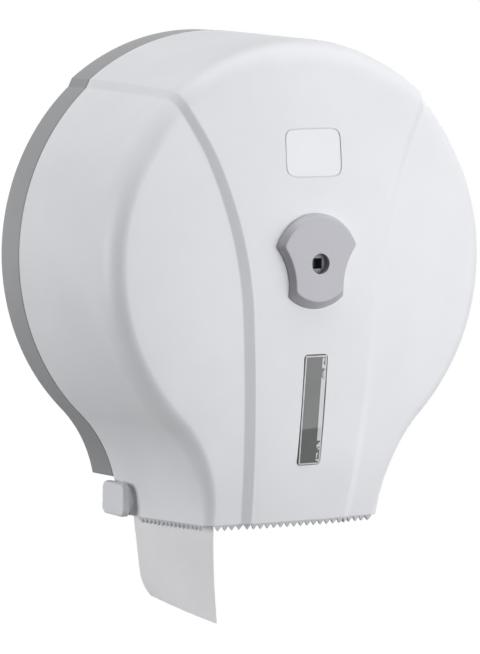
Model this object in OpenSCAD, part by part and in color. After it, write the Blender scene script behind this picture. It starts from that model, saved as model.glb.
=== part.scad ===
// Jumbo toilet roll dispenser: a round white cover on a grey wall plate, hinged at the foot of its neck.
// Millimetres. +Z is up, the wall is the plane y = 0 and the front faces -Y.
// The origin is on the spindle's axis, at the wall.

/* [Outline] */
// Radius of the round side wall
side_r = 112.4; // [100:0.1:130]
// How far the raised top band stands over the side wall
band_h = 2; // [1:0.1:4]
// Half angle of the raised top band, from straight up
band_a = 39.2; // [25:0.1:50]
// Half width of the neck at its foot
neck_half = 54; // [50:0.5:64]
// Radius of the hollow curve between the round wall and the neck
neck_r = 70; // [40:1:110]

/* [Front cover] */
// Depth from the wall to the middle of the front, without the raised panel
dome_d = 120.6; // [110:0.1:140]
// How far the domed front falls back from its crest to the foot
front_drop = 13.2; // [5:0.1:18]
// Height of the dome's crest on the front
dome_z = -10; // [-40:1:30]
// Height of the raised centre panel over the front
panel_h = 2.6; // [1:0.1:4]
// Radius of the soft edge round the front
edge_r = 14; // [8:0.5:20]
// Radius of that edge at the foot, where it tightens
edge_foot_r = 6; // [4:0.5:12]
// Wall thickness of the cover
cover_t = 2.4; // [1.8:0.1:3]
// How much the side wall leans in from back to front
draft = 2.4; // [0:0.1:4]
// Half width of the centre panel at the foot
crease_foot = 29.5; // [20:0.5:40]
// How fast the panel widens upwards, straight part
crease_lean = 0.07; // [0:0.01:0.2]
// Height where the panel starts to flare out to the band
crease_bend_z = -25; // [-60:1:20]
// Width of the panel's bevelled edge
crease_w = 5; // [2:0.1:10]
// How far the cover's foot stands over the end of the neck's curve, at its back edge
rim_up = 1; // [0.5:0.1:5]
// How much the foot rises towards the front, mm for each mm
rim_rise = 0.042; // [0:0.001:0.08]

/* [Wall plate] */
// Depth of the grey wall plate's rim
plate_d = 19; // [14:0.5:26]
// Thickness of its rim wall
plate_t = 2.4; // [2:0.1:4]
// Thickness of its floor on the wall
floor_t = 3; // [2:0.1:5]
// Height of its lower end over the cover's foot
plate_up = 17.8; // [16:0.1:25]
// Spread of the wall screw holes, sideways
screw_dx = 110; // [80:5:130]
// Spread of the wall screw holes, upwards
screw_dz = 90; // [60:5:110]
// Radius of the wall screw holes
screw_hole_r = 2.6; // [2:0.1:3.5]

/* [Hinge] */
// Distance of the hinge axis from the wall
hinge_d = 27.2; // [25:0.1:32]
// Height of the hinge axis over the cover's foot
hinge_up = 6.4; // [6:0.1:8]
// Radius of the hinge pin
pin_r = 4.2; // [3:0.1:5]
// Running clearance round the pin, on the radius
pin_play = 0.08; // [0.02:0.01:0.1]
// Radius of the round hinge boss on the cover
boss_r = 9.6; // [8:0.1:10]
// Thickness of the pin head, outside the cover
head_t = 5.1; // [3:0.1:8]
// Length of the pin head along the depth
head_w = 20; // [16:0.5:22]
// Height of the pin head
head_h = 18.6; // [15:0.1:20]
// Corner radius of the pin head
head_corner = 3.6; // [2:0.1:6]

/* [Tear edge] */
// Height of the teeth
tooth_h = 2.8; // [1.5:0.1:4]
// Distance between two teeth
tooth_pitch = 3.95; // [3:0.05:6]
// Height of the plain band over the teeth
tooth_band = 1; // [0.6:0.1:2]

/* [Spindle and roll] */
// Radius of the spindle
spindle_r = 13; // [11:0.1:16]
// Distance of the spindle's tip from the wall
spindle_tip = 94; // [88:0.5:98]
// Radius of the spindle's flange
flange_r = 24; // [20:0.5:26]
// Running clearance between spindle and roll hub, on the radius
spindle_play = 0.08; // [0.02:0.01:0.1]
// Outer radius of the cardboard core
core_r = 29.5; // [27:0.5:38]
// Wall of the cardboard core
core_t = 2; // [1:0.1:3]
// Radius of the part-used paper roll
roll_r = 44.3; // [36:0.1:46]
// Width of the paper
paper_w = 77; // [70:1:80]
// Distance of the paper's middle from the wall
paper_mid = 59.4; // [58:0.1:62]
// Length of paper that hangs below the cover's foot
tail_drop = 46.2; // [20:0.1:90]
// Thickness of the hanging paper's solid
tail_t = 0.8; // [0.6:0.1:1.2]

/* [Lock] */
// Radius of the keyhole in the escutcheon
key_r = 5.2; // [4.5:0.1:6]
// Side of the square socket for the key
socket_w = 5; // [4:0.1:6]
// Thickness of the escutcheon, from the flat field that it sits in
escutcheon_t = 4.8; // [4.4:0.1:8]
// Width of the escutcheon's bevel
bevel_w = 3; // [1:0.1:4]
// Reach of the lock cam from its axis
cam_reach = 9.4; // [8:0.1:9.6]

/* [Window and badge] */
// Width of the level window
window_w = 13.9; // [10:0.1:20]
// Height of the level window
window_h = 54.8; // [40:0.1:60]
// Height of the window's middle
window_z = -73.4; // [-80:0.1:-66]
// Clearance round the lens in its window
lens_play = 0.2; // [0.1:0.05:0.4]
// Width of the badge field
badge_w = 32.7; // [24:0.1:40]
// Height of the badge field
badge_h = 24.8; // [18:0.1:30]
// Height of the badge's middle
badge_z = 54.9; // [45:0.1:65]
// Depth of the badge field
badge_t = 1; // [0.6:0.1:1.4]

/* [Hidden] */
$fn = 64;
eps = 0.01;
gap = 0.3;                          // between pieces that move apart
seat = 0.1;                         // between pieces that sit in a pocket
cover_back = plate_d + gap;
neck_cx = neck_half + neck_r;
neck_cz = -sqrt(pow(side_r + neck_r, 2) - pow(neck_cx, 2));
dome_r = pow(neck_cz - dome_z, 2) / (2 * front_drop);
neck_a = atan2(neck_cx, neck_cz);   // where the round wall meets the neck's curve
rim_z = neck_cz + rim_up;
hinge_z = rim_z + hinge_up;
plate_end_z = rim_z + plate_up;
tail_z = rim_z - tail_drop;
notch_x = side_r * sin(band_a);
notch_z = side_r * cos(band_a);
crease_k = (notch_x - crease_foot - crease_lean * (notch_z - rim_z)) / pow(notch_z - crease_bend_z, 2);
edge_a = 80;                        // turn of the soft edge, where it meets the domed front
lock_floor = dome_d + 1.4;          // depth of the flat field under the escutcheon
lock_pad = dome_d - 2.6;            // back of the thickened pad round the lock
escutcheon_d = lock_floor + escutcheon_t;
hub_boss_h = 9;                     // boss of the wall plate under the spindle
flange_t = 3;
flange_front = floor_t + hub_boss_h + flange_t;
house_r = 8.8;
housing_back = lock_floor - 13;
barrel_back = housing_back - 4;
cam_t = 2.8;
keeper_t = 2;
keeper_x = 5;
keeper_top = 12.5;
screw_ring_r = (spindle_r + flange_r + 1) / 2;
lug_x1 = neck_half - draft / 2 - cover_t - gap + 0.2;
lug_x0 = lug_x1 - 3.4;
boss_in = lug_x1 + gap;
boss_out = neck_half + 3.2;
head_x = boss_out + gap + head_t;

// Eased step from 0 at a to 1 at b
function ease(a, b, x) = let (t = max(0, min(1, (x - a) / (b - a)))) t * t * (3 - 2 * t);

// Half width of the centre panel at a height
function crease_x(z) = crease_foot + crease_lean * (z - rim_z) + crease_k * pow(max(0, z - crease_bend_z), 2);

// 1 on the raised panel and band, 0 beside them, with a straight bevel between
function raised(x, z) = 1 - max(0, min(1, (abs(x) - crease_x(z)) / crease_w + 0.5));

// Radius of the soft edge at a height
function edge_at(z) = edge_r - (edge_r - edge_foot_r) * ease(-62, neck_cz, z);

// Depth of the front's outer face
function front_d(x, z) = dome_d - (x * x + pow(z - dome_z, 2)) / (2 * dome_r) + panel_h * raised(x, z);

// Lean of the front at a height, in degrees
function front_lean(z) = atan((z - dome_z) / dome_r);

// Height of the cover's foot at a depth
function rim_at(d) = rim_z + rim_rise * (d - cover_back);

// Half outline from the top down to the neck's foot, as [x, z, normal x, normal z]
step_a = 1.5;
turns = concat([for (a = [0 : 7 : band_a - 6]) a], [for (k = [-2 : 2]) band_a + k * step_a / 2],
               [for (a = [band_a + 2.6 : 2 : 62]) a],
               [for (k = [0 : 10]) 65 + k * (neck_a - 65) / 10]);
half_base = concat(
    [for (a = turns) [side_r * sin(a), side_r * cos(a), sin(a), cos(a)]],
    [for (k = [1 : 8]) let (a = neck_a + (90 - neck_a) * k / 8)
        [neck_cx - neck_r * sin(a), neck_cz - neck_r * cos(a), sin(a), cos(a)]]);
half_line = [for (p = half_base) let (h = band_h * raised(p.x, p.y)) [p.x + h * p[2], p.y + h * p[3], p[2], p[3]]];
last = len(half_line) - 1;

// Outline point i, from -last on the left over the top to last on the right
function line_at(i) = let (p = half_line[abs(i)], s = sign(i)) [s * p.x, p.y, s * p[2], p[3]];

// Closed polygon of the outline, moved inwards, cut off at a height
function cut_end(p, q, z) = [p.x + (q.x - p.x) * (z - p.y) / (q.y - p.y), z];
function plate_points(inset, end_z) =
    let (all = [for (p = half_line) [p.x - inset * p[2], p.y - inset * p[3]]],
         kept = [for (p = all) if (p.y > end_z + 0.5) p],
         right = concat(kept, [cut_end(kept[len(kept) - 1], all[len(kept)], end_z)]))
    concat(right, [for (k = [len(right) - 1 : -1 : 1]) [-right[k].x, right[k].y]]);

// Where the ray to the middle crosses the crease, by halving
function cross(f, s, lo, hi, n) = let (u = (lo + hi) / 2, x = f.x * (1 - u), z = f.y + (s - f.y) * u)
    n == 0 ? u : abs(x) > crease_x(z) ? cross(f, s, u, hi, n - 1) : cross(f, s, lo, u, n - 1);

// Height on the middle line that a ray from the outline runs to
function spine_z(z) = z < -60 ? z : -60 + (z + 60) * 0.76;

// The foot's slope, eased in over the neck
function foot(z, d) = z + (1 - ease(neck_cz, neck_cz + 34, z)) * (rim_at(d) - neck_cz);

// One rib of the shell: back edge, soft edge and front to the middle line, at an offset inwards
edge_steps = 6;
function rib(i, inset) =
    let (p = line_at(i), r = edge_at(p.y) - inset, n = [p[2], p[3]], b = [p.x, p.y] - n * inset,
         fr = b - n * (draft + r * (1 - cos(edge_a))), fd = front_d(fr.x, fr.y) - inset,
         cd = fd - r * sin(edge_a), s = spine_z(p.y), uc = cross(fr, s, 0, 1, 14),
         out = abs(fr.x) > crease_x(fr.y) + crease_w / 2, du = crease_w / 2 / max(20, abs(fr.x)) * 1.2,
         ua = out ? max(0.02, uc - du) : 0.02, ub = out ? max(ua + 0.06, uc + du) : 0.08,
         us = concat([ua / 2], [for (k = [0 : 4]) ua + (ub - ua) * k / 4], [for (k = [1 : 3]) ub + (1 - ub) * k / 3]))
    concat([[b.x, -cover_back, foot(b.y, cover_back)]],
        [for (k = [0 : edge_steps - 1]) let (a = edge_a * k / (edge_steps - 1), q = b - n * (draft + r * (1 - cos(a))),
             d = cd + r * sin(a)) [q.x, -d, foot(q.y, d)]],
        [for (u = us) let (x = fr.x * (1 - u), z = fr.y + (s - fr.y) * u, d = front_d(x, z) - inset) [x, -d, foot(z, d)]]);
rows = edge_steps + 9;              // index of the rib's last point, on the middle line
ribs = 2 * last + 1;

// Index of point j of rib i on the outer (0) or inner (1) face; mirrored ribs share their last point
function at(i, j, side) = side * (ribs * rows + last + 1)
    + (j == rows ? ribs * rows + abs(i) : (i + last) * rows + j);
function quad(a, b, c, d) = [[a, c, b], [a, d, c]];

module cover_shell() {
    outer = [for (i = [-last : last]) rib(i, 0)];
    inner = [for (i = [-last : last]) rib(i, cover_t)];
    points = concat([for (r = outer) for (j = [0 : rows - 1]) r[j]], [for (i = [0 : last]) outer[i + last][rows]],
                    [for (r = inner) for (j = [0 : rows - 1]) r[j]], [for (i = [0 : last]) inner[i + last][rows]]);
    faces = concat(
        [for (i = [-last : last - 1]) for (j = [0 : rows - 1]) each
            quad(at(i, j, 0), at(i, j + 1, 0), at(i + 1, j + 1, 0), at(i + 1, j, 0))],
        [for (i = [-last : last - 1]) for (j = [0 : rows - 1]) each
            quad(at(i, j, 1), at(i + 1, j, 1), at(i + 1, j + 1, 1), at(i, j + 1, 1))],
        [for (i = [-last : last - 1]) each quad(at(i, 0, 0), at(i + 1, 0, 0), at(i + 1, 0, 1), at(i, 0, 1))],
        [for (j = [0 : rows - 1]) each quad(at(last, j, 0), at(last, j + 1, 0), at(last, j + 1, 1), at(last, j, 1))],
        [for (j = [0 : rows - 1]) each
            quad(at(-last, j, 0), at(-last, j, 1), at(-last, j + 1, 1), at(-last, j + 1, 0))]);
    polyhedron(points, faces, convexity = 8);
}

// A frame on the middle of the front: x sideways, y up along it, z outwards
module on_front(z) {
    translate([0, -front_d(0, z), z]) rotate([90 - front_lean(z), 0, 0]) children();
}

// A frame on the lock's axis, z outwards, 0 at the wall
module on_axis() { rotate([90, 0, 0]) children(); }

// A cylinder along Y between two depths
module along(d0, d1, r) { on_axis() translate([0, 0, d0]) cylinder(r = r, h = d1 - d0); }

// A cylinder along X on the hinge axis
module hinge_cyl(x0, x1, r) {
    translate([x0, -hinge_d, hinge_z]) rotate([0, 90, 0]) cylinder(r = r, h = x1 - x0);
}

// Bulged rectangle of the badge
function badge_points(w, h) = [for (a = [0 : 9 : 351])
    [w / 2 * sign(cos(a)) * pow(abs(cos(a)), 0.32), h / 2 * sign(sin(a)) * pow(abs(sin(a)), 0.32)]];

// Rounded rectangle
module round_rect(w, h, r) {
    hull() for (x = [-1, 1]) for (y = [-1, 1]) translate([x * (w / 2 - r), y * (h / 2 - r)]) circle(r = r, $fn = 32);
}

// Shield of the escutcheon, from an arc over the top, hollow flanks and an arc below
shield_w = 45.8;
shield_top = 25.2;
shield_tip = 9;
shield_foot = 31.6;
shield_foot_z = -16.6;
shield_low = -22.3;
function arc_between(a, b, bulge, n) =
    [for (k = [0 : n - 1]) let (t = k / n, m = 4 * t * (1 - t), d = b - a, l = norm(d))
        a + d * t + [d.y, -d.x] / l * bulge * m];
function shield_points() =
    let (tl = [-shield_w / 2, shield_tip], tr = [shield_w / 2, shield_tip],
         br = [shield_foot / 2, shield_foot_z], bl = [-shield_foot / 2, shield_foot_z])
    concat(arc_between(tl, tr, -(shield_top - shield_tip), 20), arc_between(tr, br, 2.4, 8),
           arc_between(br, bl, -(shield_foot_z - shield_low), 12), arc_between(bl, tl, 2.4, 8));

// Wall plate: floor, rim, inner lip, spindle boss and the two hinge lugs
module rear_plate() {
    color([0.57, 0.57, 0.58]) difference() {
        union() {
            on_axis() linear_extrude(floor_t) polygon(plate_points(0, plate_end_z));
            on_axis() linear_extrude(plate_d) difference() {
                polygon(plate_points(0, plate_end_z));
                polygon(plate_points(plate_t, plate_end_z + plate_t));
            }
            // Lip that closes the seam from inside
            on_axis() translate([0, 0, floor_t - 1]) linear_extrude(plate_d + 2 - floor_t) difference() {
                polygon(plate_points(cover_t + 0.8, plate_end_z + 8));
                polygon(plate_points(cover_t + 2.6, plate_end_z + 6));
            }
            along(floor_t - 1, floor_t + hub_boss_h, flange_r + 2);
            for (s = [-1, 1]) {
                translate([s > 0 ? lug_x0 : -lug_x1, 0, 0]) rotate([90, 0, 90])
                    linear_extrude(lug_x1 - lug_x0) hull() {
                        translate([-hinge_d, hinge_z]) circle(r = pin_r + 3.6);
                        translate([-plate_d, plate_end_z]) square([plate_d - floor_t + 1, 26]);
                    }
                for (z = [-1, 1]) translate([s * screw_dx / 2, 0, z * screw_dz / 2]) along(floor_t - 1, floor_t + 4, 7);
            }
            for (a = [0 : 45 : 135]) rotate([0, a, 0]) translate([-side_r + 4, -floor_t - 5, -0.9])
                cube([2 * side_r - 8, 6, 1.8]);
        }
        for (x = [-1, 1]) for (z = [-1, 1]) translate([x * screw_dx / 2, 0, z * screw_dz / 2])
            along(-1, floor_t + 9, screw_hole_r);
        for (k = [0 : 2]) rotate([0, 120 * k, 0]) translate([0, 0, screw_ring_r])
            along(floor_t + 1, floor_t + hub_boss_h + 1, 1.5);
        hinge_cyl(-lug_x1 - 2, -lug_x0 + 2, pin_r + 0.02);
        hinge_cyl(lug_x0 - 2, lug_x1 + 2, pin_r + 0.02);
    }
}

// Spindle with its flange, fixed on the plate's boss
module spindle() {
    color([0.82, 0.82, 0.83]) difference() {
        union() {
            along(floor_t + hub_boss_h, flange_front, flange_r);
            along(flange_front - 1, spindle_tip - 1.5, spindle_r);
            along(spindle_tip - 1.5 - eps, spindle_tip, spindle_r - 1.2);
        }
        for (k = [0 : 2]) rotate([0, 120 * k, 0]) translate([0, 0, screw_ring_r]) along(0, flange_front + 1, 1.7);
        along(spindle_tip - 12, spindle_tip + 1, 1.5);
    }
}

// Pan head screw along Y, its head's seat at a depth, pointing to the wall
module pan_screw(seat_d, shank, length, head_r, head_t) {
    along(seat_d - length, seat_d + eps, shank);
    difference() {
        union() {
            along(seat_d, seat_d + head_t * 0.55, head_r);
            along(seat_d + head_t * 0.55 - eps, seat_d + head_t, head_r * 0.8);
        }
        for (a = [0, 90]) rotate([0, a, 0]) translate([-head_r * 0.6, -seat_d - head_t - 1, -0.4])
            cube([head_r * 1.2, 1.8, 0.8]);
    }
}

module spindle_screws() {
    color([0.75, 0.75, 0.77]) for (k = [0 : 2]) rotate([0, 120 * k, 0]) translate([0, 0, screw_ring_r])
        pan_screw(flange_front, 1.45, 10, 3, 1.8);
}

// Bent steel keeper on the spindle's tip, which the lock cam hooks behind
module latch_keeper() {
    color([0.72, 0.73, 0.75]) difference() {
        union() {
            translate([-keeper_x, -spindle_tip - keeper_t, -keeper_top + 3]) cube([2 * keeper_x, keeper_t, 2 * keeper_top - 3]);
            translate([-keeper_x, -housing_back + 0.8, keeper_top - keeper_t])
                cube([2 * keeper_x, housing_back - 0.8 - spindle_tip, keeper_t]);
            translate([-keeper_x, -housing_back + 0.8, keeper_top - 6]) cube([2 * keeper_x, keeper_t, 6]);
        }
        along(spindle_tip - 1, spindle_tip + keeper_t + 1, 1.7);
    }
}

module keeper_screw() { color([0.75, 0.75, 0.77]) pan_screw(spindle_tip + keeper_t, 1.45, 10, 3.2, 1.8); }

// Hinge pin with its rounded square head outside the cover
module hinge_pin(s) {
    x0 = boss_out + gap;
    color([0.85, 0.85, 0.86]) {
        hinge_cyl(s > 0 ? lug_x0 : -x0 - 1, s > 0 ? x0 + 1 : -lug_x0, pin_r);
        translate([s > 0 ? x0 : -head_x, -hinge_d, hinge_z]) rotate([90, 0, 90])
            linear_extrude(head_x - x0) round_rect(head_w, head_h, head_corner);
    }
}
module hinge_pin_left() { hinge_pin(-1); }
module hinge_pin_right() { hinge_pin(1); }

// Paper that comes off the roll on the left and hangs out of the neck, its lower back corner drawn in
tail_steps = 22;
tail_across = 8;
tail_x = roll_r + gap;
function tail_path(k) = let (t = k / tail_steps) t < 0.14 ? 24 * (1 - t / 0.14) : 0;
function tail_point(k, v, out) =
    let (t = k / tail_steps, a = tail_path(k), u = max(0, (t - 0.14) / 0.86), z = u * tail_z,
         pull = 8 * pow(u, 3) * (1 - v) + 2.2 * pow(u, 2) * v + 0.7 * sin(180 * v) * u * sin(320 * u),
         r = tail_x + out * tail_t)
    [-r * cos(a) + pull, -(paper_mid - paper_w / 2 + v * paper_w), r * sin(a) + z];
module paper_tail() {
    w = tail_across + 1;
    n = (tail_steps + 1) * w;
    function id(k, v, s) = s * n + k * w + v;
    points = [for (s = [0, 1]) for (k = [0 : tail_steps]) for (v = [0 : tail_across]) tail_point(k, v / tail_across, s)];
    faces = concat(
        [for (k = [0 : tail_steps - 1]) for (v = [0 : tail_across - 1]) each
            quad(id(k, v, 0), id(k, v + 1, 0), id(k + 1, v + 1, 0), id(k + 1, v, 0))],
        [for (k = [0 : tail_steps - 1]) for (v = [0 : tail_across - 1]) each
            quad(id(k, v, 1), id(k + 1, v, 1), id(k + 1, v + 1, 1), id(k, v + 1, 1))],
        [for (k = [0 : tail_steps - 1]) each concat(quad(id(k, 0, 0), id(k + 1, 0, 0), id(k + 1, 0, 1), id(k, 0, 1)),
            quad(id(k, tail_across, 0), id(k, tail_across, 1), id(k + 1, tail_across, 1), id(k + 1, tail_across, 0)))],
        [for (v = [0 : tail_across - 1]) each concat(quad(id(0, v, 0), id(0, v, 1), id(0, v + 1, 1), id(0, v + 1, 0)),
            quad(id(tail_steps, v, 0), id(tail_steps, v + 1, 0), id(tail_steps, v + 1, 1), id(tail_steps, v, 1)))]);
    color([0.93, 0.93, 0.93]) polyhedron(points, faces);
}

// White cover with its hinge bosses, window, badge field, lock hole and screw holes
module front_cover() {
    color([0.93, 0.93, 0.94]) difference() {
        union() {
            cover_shell();
            along(lock_pad, lock_floor - 0.2, 20);
            hinge_cyl(-boss_out, -boss_in, boss_r);
            hinge_cyl(boss_in, boss_out, boss_r);
        }
        hinge_cyl(-boss_out - 1, -boss_in + 1, pin_r + pin_play);
        hinge_cyl(boss_in - 1, boss_out + 1, pin_r + pin_play);
        on_front(window_z) translate([0, 0, -6]) linear_extrude(12) round_rect(window_w, window_h, 2);
        on_front(badge_z) translate([0, 0, -badge_t]) linear_extrude(4) polygon(badge_points(badge_w, badge_h));
        on_axis() translate([0, 0, lock_floor]) linear_extrude(8) offset(delta = seat) polygon(shield_points());
        along(dome_d - 8, dome_d + 6, house_r + seat);
        for (s = [-1, 1]) translate([s * 13.5, 0, 9]) along(dome_d - 8, dome_d + 6, 1.5);
    }
}

// Serrated strip under the cover's foot, along its front and both sides
strip_back = 40;                    // depth where the side teeth start
strip_turn = dome_d - 21.6;         // depth where they end and the plain corner starts
strip_half = neck_half - 7;         // half width of the front teeth
strip_t = 1.6;
function strip_half_line(o) =
    let (r = rib(last, o), t = (strip_back - cover_back) / (-r[1].y - cover_back))
    concat([[r[0].x + (r[1].x - r[0].x) * t, -strip_back]], [for (j = [1 : rows]) [r[j].x, r[j].y]]);
function strip_line(o) = let (h = strip_half_line(o))
    concat(h, [for (k = [len(h) - 2 : -1 : 0]) [-h[k].x, h[k].y]]);
function turned(l) = [for (k = [len(l) - 1 : -1 : 0]) l[k]];

// What is cut away under the band between a and b, leaving the teeth
function tooth_cut(a, b, n) = concat([[a, -9], [b, -9]],
    [for (k = [0 : n - 1]) each [[b - k * (b - a) / n, -tooth_band], [b - (k + 0.5) * (b - a) / n, -tooth_band - tooth_h]]],
    [[a, -tooth_band]]);
module tear_edge() {
    front_n = round(2 * strip_half / tooth_pitch);
    side_n = round((strip_turn - strip_back) / tooth_pitch);
    color([0.92, 0.92, 0.93]) translate([0, -cover_back, rim_z - 0.05]) rotate([-atan(rim_rise), 0, 0])
        translate([0, cover_back, 0]) difference() {
            translate([0, 0, -tooth_band - tooth_h - 0.5]) linear_extrude(tooth_band + tooth_h + 0.5)
                polygon(concat(strip_line(0.3), turned(strip_line(0.3 + strip_t))));
            translate([0, -strip_turn, 0]) rotate([90, 0, 0]) linear_extrude(30)
                polygon(concat([[-neck_cx, -9], [neck_cx, -9], [neck_cx, -tooth_band]],
                               [for (q = tooth_cut(-strip_half, strip_half, front_n)) if (q.y > -9) q],
                               [[-neck_cx, -tooth_band]]));
            for (s = [-1, 1]) translate([s * neck_half - 15, 0, 0]) rotate([90, 0, 90]) linear_extrude(30)
                polygon(tooth_cut(-strip_turn - eps, -strip_back + 1, side_n));
        }
}

// Clear clip-in lens: a face in the window and a flange behind it
module window_lens() {
    color([0.5, 0.5, 0.5, 0.6]) on_front(window_z) {
        translate([0, 0, -cover_t - 1.1]) linear_extrude(cover_t + 0.25) round_rect(window_w - 2 * lens_play, window_h - 2 * lens_play, 1.8);
        translate([0, 0, -cover_t - 2.4]) linear_extrude(1.4) round_rect(window_w + 5, window_h + 3, 2);
    }
}

// Bare badge in its field
module badge_plate() {
    color([0.95, 0.95, 0.95]) on_front(badge_z) translate([0, 0, -badge_t + 0.05]) linear_extrude(badge_t - 0.35)
        polygon(badge_points(badge_w - 0.8, badge_h - 0.8));
}

// Grey bevelled shield round the keyhole
module lock_escutcheon() {
    back = lock_floor + 0.05;
    color([0.73, 0.73, 0.74]) difference() {
        on_axis() translate([0, 0, back]) {
            linear_extrude(1.4) polygon(shield_points());
            translate([0, 0, 1.4]) linear_extrude(escutcheon_d - back - 1.4, scale = 1 - 2 * bevel_w / shield_w)
                polygon(shield_points());
        }
        along(back - 1, escutcheon_d + 1, key_r);
        along(back - 1, back + 2, house_r + 2.4);
        for (s = [-1, 1]) translate([s * 13.5, 0, 9]) along(back - 1, back + 3.4, 1.1);
    }
}

// Screws from inside the cover into the shield
module escutcheon_screws() {
    head_back = lock_pad - 0.05;
    color([0.75, 0.75, 0.77]) for (s = [-1, 1]) translate([s * 13.5, 0, 9]) {
        along(head_back - 1.6, head_back, 2.6);
        along(head_back - eps, lock_floor + 2.8, 1.05);
    }
}

// Lock body through the front wall, with its collar under the shield
module lock_housing() {
    color([0.78, 0.79, 0.8]) difference() {
        union() {
            along(housing_back, lock_floor + 0.1, house_r);
            along(lock_floor + 0.05, lock_floor + 1.7, house_r + 2.1);
        }
        along(housing_back - 1, lock_floor + 3, key_r + 0.14);
    }
}

// Hexagon nut that clamps the lock body from inside
module lock_nut() {
    front = lock_pad - 0.05;
    color([0.72, 0.73, 0.75]) difference() {
        on_axis() translate([0, 0, front - 3.6]) cylinder(r = 12, h = 3.6, $fn = 6);
        along(front - 5, front + 1, house_r + 0.05);
    }
}

// Barrel with the square socket for the key
module lock_barrel() {
    color([0.3, 0.3, 0.32]) difference() {
        union() {
            along(barrel_back, lock_floor + 1.7, key_r + 0.14 - pin_play);
            along(barrel_back - cam_t, barrel_back + eps, 3);
        }
        translate([-socket_w / 2, -lock_floor - 3, -socket_w / 2]) cube([socket_w, 8, socket_w]);
        along(barrel_back - 8, barrel_back + 6, 1.25);
    }
}

// Cam on the barrel's end, at rest turned aside, out of the keeper
module lock_cam() {
    color([0.72, 0.73, 0.75]) difference() {
        on_axis() translate([0, 0, barrel_back - cam_t]) linear_extrude(cam_t - seat) hull() {
            circle(r = 5);
            translate([cam_reach - 2.4, 0]) square([4.8, 6], center = true);
        }
        along(barrel_back - cam_t - 1, barrel_back + 1, 3.02);
    }
}

module cam_screw() {
    color([0.75, 0.75, 0.77]) {
        along(barrel_back - cam_t - 1.5, barrel_back - cam_t - 0.05, 4);
        along(barrel_back - cam_t - 1, barrel_back + 5, 1.2);
    }
}

// Hub that turns on the spindle and carries the cardboard core
hub_back = paper_mid - paper_w / 2 - 1;
hub_front = min(spindle_tip - 2, paper_mid + paper_w / 2 - 3);
hub_ring = core_r - core_t - 0.05;
module roll_hub() {
    color([0.86, 0.86, 0.87]) difference() {
        union() {
            along(hub_back, hub_front, spindle_r + 2.6);
            difference() {
                along(hub_back, hub_front, hub_ring);
                along(hub_back - 1, hub_front + 1, hub_ring - 2);
            }
            intersection() {
                along(hub_back + 1.5, hub_front - 1.5, hub_ring - 1);
                for (a = [30 : 60 : 150]) rotate([0, a, 0]) translate([-hub_ring, -hub_front, -0.9])
                    cube([2 * hub_ring, hub_front - hub_back, 1.8]);
            }
        }
        along(hub_back - 1, hub_front + 1, spindle_r + spindle_play);
    }
}

// Cardboard core inside the paper
module core_tube() {
    color([0.72, 0.6, 0.45]) difference() {
        along(paper_mid - paper_w / 2 - 0.6, paper_mid + paper_w / 2 + 0.6, core_r);
        along(0, 140, core_r - core_t);
    }
}

// Part-used roll of paper
module paper_roll() {
    color([0.95, 0.95, 0.95]) difference() {
        along(paper_mid - paper_w / 2, paper_mid + paper_w / 2, roll_r);
        along(0, 140, core_r + 0.03);
    }
}

rear_plate();
spindle();
spindle_screws();
latch_keeper();
keeper_screw();
hinge_pin_left();
hinge_pin_right();
paper_tail();
front_cover();
tear_edge();
window_lens();
badge_plate();
lock_escutcheon();
escutcheon_screws();
lock_housing();
lock_nut();
lock_barrel();
lock_cam();
cam_screw();
roll_hub();
core_tube();
paper_roll();
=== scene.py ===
# Jumbo toilet roll dispenser: round white cover on a grey wall plate, hinged at the foot, tissue hanging out below.
# The wall is the plane y = 0, the front faces -Y, and the origin is on the spindle's axis at the wall.
# Meshes are in metres; the dictionaries and the shape functions' arguments are in millimetres and degrees.
import bmesh
import bpy
from math import asin, atan, atan2, copysign, cos, degrees, dist, hypot, pi, radians, sin, sqrt
from mathutils import Matrix, Quaternion, Vector, geometry


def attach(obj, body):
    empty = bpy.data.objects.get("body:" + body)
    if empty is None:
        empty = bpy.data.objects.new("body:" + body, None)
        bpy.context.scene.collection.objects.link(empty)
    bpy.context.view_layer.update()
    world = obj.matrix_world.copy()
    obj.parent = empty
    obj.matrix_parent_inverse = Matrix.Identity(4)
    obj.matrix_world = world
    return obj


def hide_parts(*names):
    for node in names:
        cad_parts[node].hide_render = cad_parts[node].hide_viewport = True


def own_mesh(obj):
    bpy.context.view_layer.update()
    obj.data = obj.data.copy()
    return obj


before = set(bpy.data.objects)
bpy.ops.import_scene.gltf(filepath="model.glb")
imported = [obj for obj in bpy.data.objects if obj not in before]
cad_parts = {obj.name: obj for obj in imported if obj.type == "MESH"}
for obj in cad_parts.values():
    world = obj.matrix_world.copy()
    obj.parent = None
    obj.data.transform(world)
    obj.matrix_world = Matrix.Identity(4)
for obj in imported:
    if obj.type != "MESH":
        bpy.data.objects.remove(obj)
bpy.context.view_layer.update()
print("frame loaded,", len(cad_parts), "nodes")
mm = 0.001


# Small helpers for meshes.
def linked(name, data):
    made = bpy.data.objects.new(name, data)
    bpy.context.scene.collection.objects.link(made)
    return made


def objectFrom(name, bm):
    mesh = bpy.data.meshes.new(name)
    bm.to_mesh(mesh)
    bm.free()
    return linked(name, mesh)


def weld(bm, gap=1e-6):
    bmesh.ops.remove_doubles(bm, verts=bm.verts, dist=gap)


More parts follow.
